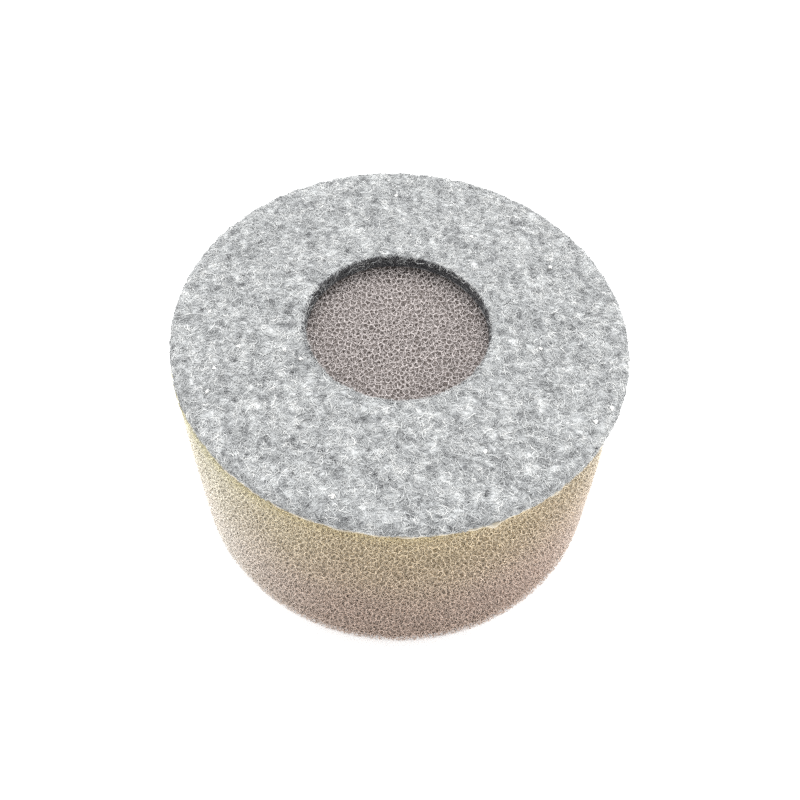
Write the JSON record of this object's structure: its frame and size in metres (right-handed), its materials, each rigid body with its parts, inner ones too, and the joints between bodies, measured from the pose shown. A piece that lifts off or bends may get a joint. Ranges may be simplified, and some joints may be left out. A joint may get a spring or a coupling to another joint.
{
  "type": "foam air filter element",
  "caption": "Round open-cell foam air filter element for a small motorcycle, with a grey felt sealing ring glued around the air hole on its top face.",
  "frame": {"origin": "centre of the foam's bottom face, the face that the element stands on", "axes": "+Z along the axis of the round stack, from the foam towards the felt ring; X and Y are free, because the element is round"},
  "size_m": [0.0728, 0.0728, 0.0398],
  "materials": {
    "filter_foam": "open-cell reticulated polyurethane foam, taupe, stained yellow by adhesive near the felt",
    "contact_adhesive": "dried contact adhesive film, straw yellow, slightly glossy",
    "grey_felt": "needled felt of mixed white and grey fibres, matt and slightly hairy"
  },
  "bodies": {
    "root": {"foam_block": "filter_foam", "glue_ring": "contact_adhesive", "felt_ring": "grey_felt"}
  },
  "joints": []
}
